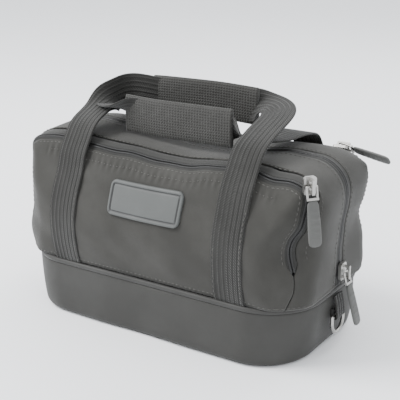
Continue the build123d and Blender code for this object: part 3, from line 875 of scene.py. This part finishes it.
front_bend, rear_bend = joint_spot["front_handle_swing"][1:], joint_spot["rear_handle_swing"][1:]
grip_low, grip_high = box_mm("front_handle_grip")
grip_mid = (grip_low + grip_high) / 2
rear_low, rear_high = box_mm("rear_handle_grip")
rear_mid = (rear_low + rear_high) / 2
front_nodes = ["front_handle_sewn_straps", "front_handle_strap"]
rear_nodes = ["rear_handle_sewn_straps", "rear_handle_strap"]
FRONT_RISE = [(-45, 165.5), (-24, 174)]
REAR_RISE = [(47, 159.5), (30, 163)]
GRIP_START, ELBOW = 44.0, 18.5
for end in (1, -1):
    right = end > 0
    x = end * HANDLE_X
    rising = [((x, y, z), FLAT) for y, z in [front_bend] + FRONT_RISE]
    turned = elbow((x, -2, 181), (0, 0.94, 0.3), end, ELBOW if right else 14.0, 0.0 if right else 0.8)
    leg("front", -1, x, rising + turned + grip_run(grip_mid, end, GRIP_START), front_bend, front_nodes)
    corner_y, lift = (4, 162.0) if right else (-2, 172.0)
    rising = [((x, y, z), FLAT) for y, z in [rear_bend] + REAR_RISE]
    rising.append(((end * (HANDLE_X - 1), corner_y + 13, (REAR_RISE[-1][1] + lift) / 2 + 1), FLAT))
    turned = elbow((end * (HANDLE_X - 2), corner_y, lift + 1), (0, -0.98, 0.05 if right else 0.12), end, ELBOW)
    leg("rear", 1, x, rising + turned + grip_run(rear_mid, end, GRIP_START), rear_bend, rear_nodes)

# %% [markdown]
# A sleeve of cross-ribbed webbing is wrapped round each grip. It is a flattened tube: an oval section
# with a slight swell for every rib, carried along the grip and closed at both ends.
# %% Grip sleeves
def sleeve(name, middle, half_long, tall, thick, body, node, sag):
    """Flattened tube along X whose skin swells and sinks with its ribs."""
    along = np.linspace(-1, 1, 420)
    turn = np.linspace(0, 2 * np.pi, 60, endpoint=False)
    rib = 0.34 * np.abs(np.sin(along * half_long * np.pi / 2.6))
    end = np.clip((1 - np.abs(along)) * 40, 0, 1) ** 0.5
    across = np.sign(np.cos(turn)) * np.abs(np.cos(turn)) ** 0.55
    face = np.sign(np.sin(turn)) * np.abs(np.sin(turn)) ** 0.8
    y = middle[1] + face[None, :] * (thick * (0.75 + 0.25 * end) + rib)[:, None]
    y = y + 0.5 * np.sin(along * 5)[:, None]
    z = middle[2] + across[None, :] * (tall * (0.985 + 0.015 * end))[:, None]
    z = z + (sag * (1 - along ** 2))[:, None]
    x = np.broadcast_to((middle[0] + along * half_long)[:, None], y.shape)
    return dress(tube_piece(name, np.stack([x, y, z], axis=-1)), "grip_webbing", body, nodes=[node])


for side_name, middle, sag in (("front", grip_mid, 1.2), ("rear", rear_mid, -1.0)):
    handle = side_name + "_handle"
    wrap = sleeve(side_name + "_grip_sleeve", middle, 52.0, 15.6, 2.3, handle, handle + "_grip", sag)
    print(wrap.name, len(wrap.data.polygons), "faces")

# %% [markdown]
# Stitches are what make sewn cloth look sewn. Each is a short fat thread, a small closed shape that is
# copied along a seam with arrays, turned to the seam's own directions.
# %% Rows of stitches
def stitches(name, curve, body, offset=0.0, level=0.15, long=2.6, pitch=4.0, fat=0.42):
    """Row of threads beside a curve on the cloth, as one mesh."""
    line = strip(curve, [offset], level)[:, 0] if offset is not None else curve
    line = share_out(line, max(int(run_length(line[None], 1)[0, -1] / pitch), 3))
    along, out, side = frames(line)
    turn = np.linspace(0, 2 * np.pi, 7)
    share = np.array([-1.0, -0.8, 0.0, 0.8, 1.0])
    girth = np.array([0.0, 0.8, 1.0, 0.8, 0.0]) * fat
    a = np.broadcast_to((share * long / 2)[:, None], (5, 7))
    b = girth[:, None] * np.cos(turn)
    h = girth[:, None] * np.sin(turn) * 0.8 - (share[:, None] ** 2) * 0.3
    points = line[:, None, None] + along[:, None, None] * a[None, ..., None]
    points = points + side[:, None, None] * b[None, ..., None] + out[:, None, None] * h[None, ..., None]
    faces = grid_faces(5, 7)[None] + (np.arange(len(line)) * 35)[:, None, None]
    uv = np.broadcast_to(np.stack([a, b], -1)[None], points.shape[:3] + (2,))
    obj = weld(add_mesh(name, points.reshape(-1, 3), faces.reshape(-1, 4), uv.reshape(-1, 2)))
    return dress(obj, "thread", body)


rim = plan_ring(np.array([0.0]), np.array([seam_z]))[0]
rim = rim[np.argsort(np.arctan2(rim[:, 1], rim[:, 0]))]
for name, side in SIDES.items():
    half = rim[rim[:, 1] * side > 0]
    low = half[np.argsort(half[:, 0])] * np.array([1, 1, 0]) + np.array([0, 0, seam_z + 3.2])
    inner = np.abs(low[:, 1]) > zip_y(seam_z) + 1.0
    foot = settle(low[inner], 0.1)
    stitches(name + "_pocket_foot_stitches", foot, name + "_flap", 0.0)
    for end in (-1, 1):
        corner = low[(~inner) & (low[:, 0] * end > 0) & (np.abs(low[:, 1]) > 2)]
        stitches(f"{name}_{'right' if end > 0 else 'left'}_end_stitches", settle(corner, 0.1), name + "_half", 0.0)
    stitches(name + "_main_zip_stitches", middle_arch, name + "_half", 9.2 * MAIN_WAY[side])
    above = seam_arch[side][seam_arch[side][:, 2] > ZIP_FOOT + 8]
    stitches(name + "_pocket_zip_stitches", above, name + "_flap", 6.6 * SEAM_WAY[side])
    stitches(name + "_pocket_tape_stitches", above, name + "_half", -13.0 * SEAM_WAY[side])
    upper = above[np.abs(above[:, 0]) < 108]
    stitches(name + "_pucker_stitches", upper, name + "_flap", 14.0 * SEAM_WAY[side], long=1.6, pitch=3.2)
    for x in (-HANDLE_X, HANDLE_X):
        tag = "right" if x > 0 else "left"
        run = sewn_run(x, side, 134.0)[1:]
        for offset in (-11.9, 11.9):
            edge = run + np.array([offset, 0, 0])
            row = press(edge * np.array([1, 0, 1]), side, 1.7)
            stitches(f"{name}_{tag}_strap_stitches_{'a' if offset < 0 else 'b'}", row, name + "_flap", None)

# %% [markdown]
# The pulls' rubber tabs are flat drops: an oval section that swells from the eye and narrows to the
# tip, with a few raised bars for the fingers. Each takes its place and its directions from the solid
# tab that it stands for.
# %% Rubber pull tabs
def own_frame(node):
    """Middle, directions (long, wide, thin) and half sizes of a straight solid part."""
    mesh = frame["nodes"][node].data
    points = np.zeros(len(mesh.vertices) * 3)
    mesh.vertices.foreach_get("co", points)
    points = points.reshape(-1, 3) / METRE
    turn = np.linalg.svd(points - points.mean(axis=0), full_matrices=False)[2]
    spread = (points - points.mean(axis=0)) @ turn.T
    middle = points.mean(axis=0) + ((spread.max(0) + spread.min(0)) / 2) @ turn
    return middle, turn, (spread.max(0) - spread.min(0)) / 2


def rubber_tab(name, body):
    """Rings of an oval along the tab, wider at two thirds of its length, with raised bars."""
    node = name + "_tab"
    middle, turn, half = own_frame(node)
    eye_middle = own_frame(name + "_eye")[0]
    long = turn[0] if np.dot(middle - eye_middle, turn[0]) > 0 else -turn[0]
    wide, thin = turn[1], np.cross(long, turn[1])
    share = np.linspace(-1, 1, 90)
    angle = np.linspace(0, 2 * np.pi, 40, endpoint=False)
    close = np.sqrt(np.clip(1 - np.abs(share) ** 12, 0, 1))
    width = half[1] * (0.86 + 0.14 * smooth_step(-1, 0.4, share)) * close
    bars = 0.32 * smooth_step(0.2, 0.8, np.sin(share * 22)) * (np.abs(share) < 0.62)
    across = np.sign(np.cos(angle)) * np.abs(np.cos(angle)) ** 0.5
    face = np.sign(np.sin(angle)) * np.abs(np.sin(angle)) ** 0.7
    lift = face[None, :] * (half[2] * 0.9 * close)[:, None]
    lift = lift + np.sign(face) * bars[:, None] * (np.abs(across) < 0.75) * (np.abs(face) > 0.5)
    rings = (middle + long * (share * half[0])[:, None, None] + wide * (across[None, :] * width[:, None])[..., None]
             + thin * lift[..., None])
    return dress(tube_piece(name + "_rubber", rings), "pull_rubber", body, nodes=[node])


for zip_name in ("front", "rear", "main"):
    tab = rubber_tab(zip_name + "_zip_pull", zip_name + "_pull")
    print(tab.name, len(tab.data.polygons), "faces")

# %% [markdown]
# The solid sliders, their wire eyes and the strap rings already have the right shapes, so they keep
# their meshes and only take the plated finish. The rings hang in loops of webbing that run down the
# end of the boot, round the ring's bar and back up.
# %% Metal parts and ring loops
METAL = [z + "_zip" + p for z in ("front", "rear", "main") for p in ("_slider", "_pull_eye")]
for node in METAL + ["right_strap_ring", "left_strap_ring"]:
    obj = frame["nodes"][node]
    obj.data.materials.clear()
    obj.data.materials.append(LOOK["slider_metal"])
for end, tag in ((1, "right"), (-1, "left")):
    bar = joint_spot[tag + "_ring_swing"]
    low, high = box_mm(tag + "_ring_tab")
    reach = 2.6
    turn = np.linspace(0, -np.pi, 9)[1:-1]
    hook = [(abs(bar[0]) + reach * math.cos(t), bar[2] + reach * math.sin(t)) for t in turn]
    line = [(abs(bar[0]) - 0.6, high[2] - 0.4), (abs(bar[0]) + 1.4, high[2] - 8), (abs(bar[0]) + reach, bar[2])]
    line = line + hook + [(abs(bar[0]) - reach, bar[2]), (abs(bar[0]) - reach + 0.2, bar[2] + 5)]
    stations = [((end * x, 0, z), (0, 1, 0)) for x, z in line]
    path, wide, out = strap_frames(stations, pitch=0.4, reach=2)
    loop = tube_piece(tag + "_ring_loop", carry(path, wide, out, web_section(7.5, 0.55, 8, 0.22)))
    dress(loop, "webbing", "base", nodes=[tag + "_ring_tab"])
print("metal parts", len(METAL) + 2)

# %% [markdown]
# Inside lie a stiff board, a quilted pad, a lining that divides each pocket from the middle and a
# pocket's floor. They show when the bag stands open. The pad is a rounded plate with sewn channels.
# %% Board, pad, dividers and pocket floors
def plate_rings(node, corner, swell=0.0):
    """Rings over a lying plate: up its edge and in to its middle, with an optional quilted swell."""
    low, high = box_mm(node)
    share = np.concatenate([np.linspace(0.05, 0.98, 26), np.ones(5), np.linspace(0.98, 0.05, 26)])
    tall = np.concatenate([np.full(26, low[2]), np.linspace(low[2] + 0.3, high[2] - 0.3, 5), np.full(26, high[2])])
    outline = round_box(high[0], high[1], corner, 240)
    rings = np.stack([outline[None, :, 0] * share[:, None], outline[None, :, 1] * share[:, None],
                      np.broadcast_to(tall[:, None], (57, 240))], axis=-1)
    x, y = rings[..., 0], rings[..., 1]
    quilt = np.abs(np.sin((x + y) / 9)) * np.abs(np.sin((x - y) / 9))
    rings[..., 2] -= swell * (1 - quilt ** 0.5) * (rings[..., 2] > high[2] - 0.1)
    return rings


dress(tube_piece("stiff_board", plate_rings("base_board", 42.0)), "board", "base", nodes=["base_board"])
pad = dress(tube_piece("quilted_pad", plate_rings("floor_pad", 42.0, 1.2)), "pad", "base", nodes=["floor_pad"])
for name, side in SIDES.items():
    inner = arch(walk[::4], lambda z: side * (zip_y(z) - 10.4), -3.0)
    flat = fill_between(inner, 50, 90)
    flat[..., 1] = side * (zip_y(flat[..., 2]) - 10.4)
    divider = thicken(sheet_piece(name + "_pocket_lining", flat, (0, side, 0)), 1.4, 0.0)
    dress(divider, "lining", name + "_half", nodes=[name + "_divider"])
    low, high = box_mm(name + "_pocket_floor")
    x = np.linspace(-1, 1, 90)[None, :]
    t = np.linspace(0, 1, 8)[:, None]
    near, far = zip_y(seam_z) - 9.0, max(abs(low[1]), abs(high[1]))
    deep = near + t * (far - near)
    wide = high[0] - (high[0] - 84.0) * smooth_step(0.2, 1.0, (deep - near) / (far - near))
    floor = np.stack([x * wide, side * deep + 0 * x, low[2] + 0.8 + 0 * (x + t)], axis=-1)
    floor = thicken(sheet_piece(name + "_pocket_base", floor, (0, 0, 1)), 1.2, 0.0)
    dress(floor, "lining", name + "_half", nodes=[name + "_pocket_floor"])
print("inner pieces dressed")

# %% [markdown]
# The bag stands on a plain pale floor in soft light: a wide lamp high at the left, a weaker one at the
# right, and an even pale sky that fills the shadows. The lens is long, as for a catalogue.
# %% Floor, light and camera
floor_mesh = bpy.data.meshes.new("floor")
floor_mesh.from_pydata([(-6, -6, 0), (6, -6, 0), (6, 6, 0), (-6, 6, 0)], [], [(0, 1, 2, 3)])
floor_obj = bpy.data.objects.new("floor", floor_mesh)
COLLECTION.objects.link(floor_obj)
pale = bpy.data.materials.new("pale_floor")
pale.use_nodes = True
pale.node_tree.nodes["Principled BSDF"].inputs["Base Color"].default_value = (0.9, 0.91, 0.93, 1)
pale.node_tree.nodes["Principled BSDF"].inputs["Roughness"].default_value = 0.9
floor_mesh.materials.append(pale)
sky = bpy.data.worlds.new("sky")
sky.use_nodes = True
sky.node_tree.nodes["Background"].inputs["Color"].default_value = (0.96, 0.98, 1.0, 1)
sky.node_tree.nodes["Background"].inputs["Strength"].default_value = 1.7
bpy.context.scene.world = sky


def lamp(name, spot, aim, size, power):
    """Square soft lamp at a spot, turned to its aim; places in metres."""
    data = bpy.data.lights.new(name, "AREA")
    data.shape, data.size, data.energy = "SQUARE", size, power
    obj = bpy.data.objects.new(name, data)
    COLLECTION.objects.link(obj)
    spot, aim = np.array(spot), np.array(aim)
    obj.location = spot
    obj.rotation_mode = "QUATERNION"
    obj.rotation_quaternion = Vector(aim - spot).to_track_quat("-Z", "Y")
    return obj


lamp("key", (-1.0, -0.75, 1.4), (0, 0, 0.08), 0.9, 52)
lamp("fill", (1.2, -0.6, 0.7), (0, 0, 0.08), 1.0, 3)
lamp("back", (0.2, 1.2, 1.2), (0, 0, 0.1), 0.8, 12)
camera_data = bpy.data.cameras.new("camera")
camera = bpy.data.objects.new("camera", camera_data)
COLLECTION.objects.link(camera)
camera_data.sensor_width = 36.0
VIEW_TURN, VIEW_RISE, VIEW_FAR, LENS = 33.7, 24.5, 0.826, 83.7
a, e = math.radians(VIEW_TURN), math.radians(VIEW_RISE)
camera.location = Vector((math.sin(a) * math.cos(e), -math.cos(a) * math.cos(e), math.sin(e))) * VIEW_FAR
AIM = Vector((0.007, 0.0, 0.0996))
camera.rotation_mode = "QUATERNION"
camera.rotation_quaternion = (AIM - camera.location).to_track_quat("-Z", "Y")
camera_data.lens = LENS
bpy.context.scene.camera = camera
print("camera", [round(v, 3) for v in camera.location])
